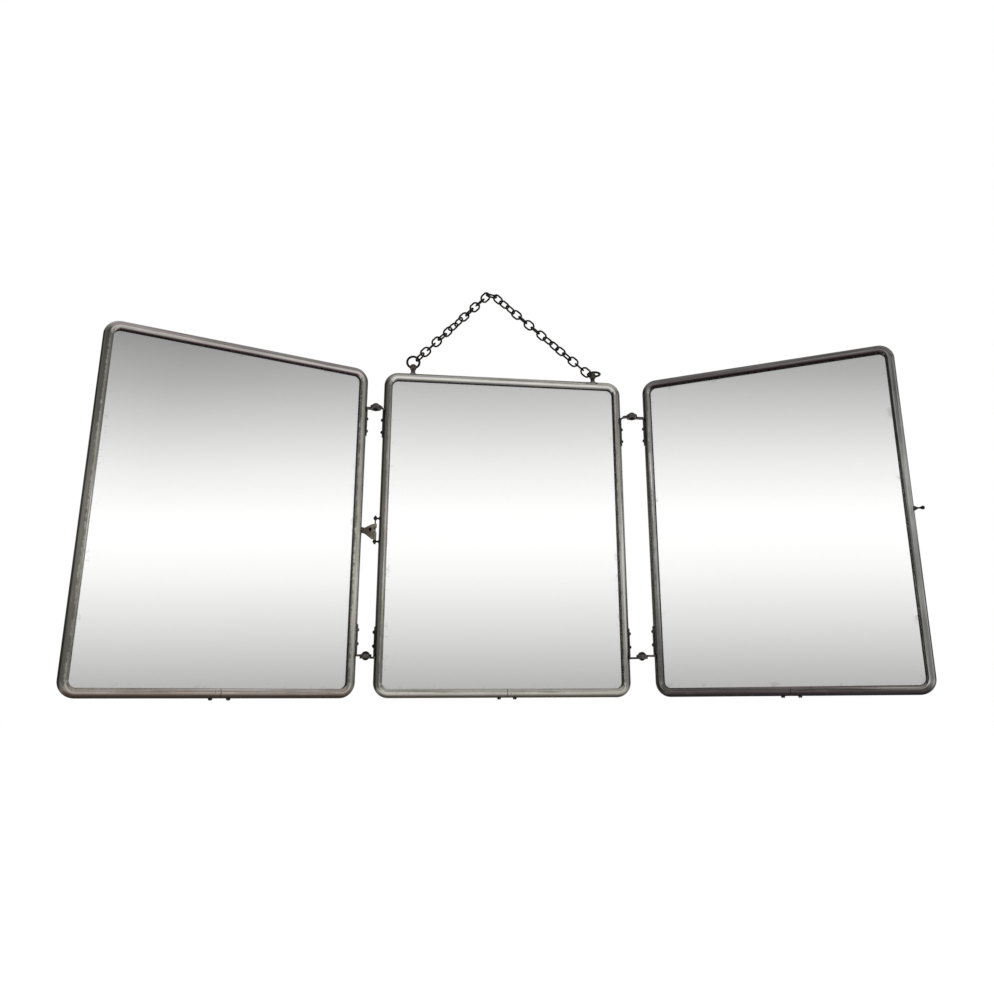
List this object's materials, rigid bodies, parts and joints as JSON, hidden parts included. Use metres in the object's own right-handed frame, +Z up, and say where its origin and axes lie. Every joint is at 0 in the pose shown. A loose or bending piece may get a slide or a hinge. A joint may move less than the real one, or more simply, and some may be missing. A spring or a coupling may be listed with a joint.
{
  "type": "trifold mirror",
  "caption": "Hanging trifold vanity mirror: glazed leaves in slit metal tube, wings folding forward on riveted arm hinges, a hasp and a hanging chain.",
  "frame": {"origin": "middle of the chain link that sits on the nail", "axes": "+X to the viewer's right along the middle leaf, +Y away from the viewer towards the wall, +Z up"},
  "size_m": [0.6788, 0.1472, 0.3924],
  "materials": {
    "frame_tube": "worn nickel plating on tube",
    "mirror_glass": "silvered glass",
    "backing_card": "plain brown card",
    "tin_back": "dull tin sheet",
    "hinge_steel": "browned steel",
    "chain_wire": "browned steel wire",
    "hasp_metal": "tarnished plate"
  },
  "bodies": {
    "centre": {"centre_frame": "frame_tube", "centre_glass": "mirror_glass", "centre_card": "backing_card", "centre_back": "tin_back", "centre_splice": "hinge_steel", "centre_seam_screws": "hinge_steel", "left_top_centre_arm": "hinge_steel", "left_top_pivot": "hinge_steel", "left_low_centre_arm": "hinge_steel", "left_low_pivot": "hinge_steel", "right_top_centre_arm": "hinge_steel", "right_top_pivot": "hinge_steel", "right_low_centre_arm": "hinge_steel", "right_low_pivot": "hinge_steel", "centre_arm_rivets": "hinge_steel", "hasp_studs": "hinge_steel", "left_chain_stud": "hinge_steel", "right_chain_stud": "hinge_steel", "left_ring": "chain_wire", "right_ring": "chain_wire", "chain_left_links": "chain_wire", "chain_nail_link": "chain_wire", "chain_right_links": "chain_wire"},
    "left_wing": {"left_frame": "frame_tube", "left_glass": "mirror_glass", "left_card": "backing_card", "left_back": "tin_back", "left_splice": "hinge_steel", "left_seam_screws": "hinge_steel", "left_top_wing_arm": "hinge_steel", "left_low_wing_arm": "hinge_steel", "left_arm_rivets": "hinge_steel"},
    "right_wing": {"right_frame": "frame_tube", "right_glass": "mirror_glass", "right_card": "backing_card", "right_back": "tin_back", "right_splice": "hinge_steel", "right_seam_screws": "hinge_steel", "right_top_wing_arm": "hinge_steel", "right_low_wing_arm": "hinge_steel", "right_arm_rivets": "hinge_steel", "catch_stud": "hinge_steel"},
    "hasp_pin": {"hasp_pin": "hinge_steel"},
    "hasp": {"hasp_plate": "hasp_metal"}
  },
  "joints": [
    {"name": "left_wing_fold", "type": "hinge", "parent": "centre", "child": "left_wing", "pos_m": [-0.10937, -0.00475, -0.23687], "axis": [0, 0, 1], "range_deg": [-23.2, 156.8]},
    {"name": "right_wing_fold", "type": "hinge", "parent": "centre", "child": "right_wing", "pos_m": [0.13673, -0.0095, -0.23687], "axis": [0, 0, -1], "range_deg": [-33.1, 146.9]},
    {"name": "hasp_swing", "type": "hinge", "parent": "centre", "child": "hasp_pin", "pos_m": [-0.10562, 0, -0.24817], "axis": [0, 0, 1], "range_deg": [-50, 4]},
    {"name": "hasp_lift", "type": "slide", "parent": "hasp_pin", "child": "hasp", "axis": [0, 0, 1], "range_m": [0, 0.003]}
  ]
}
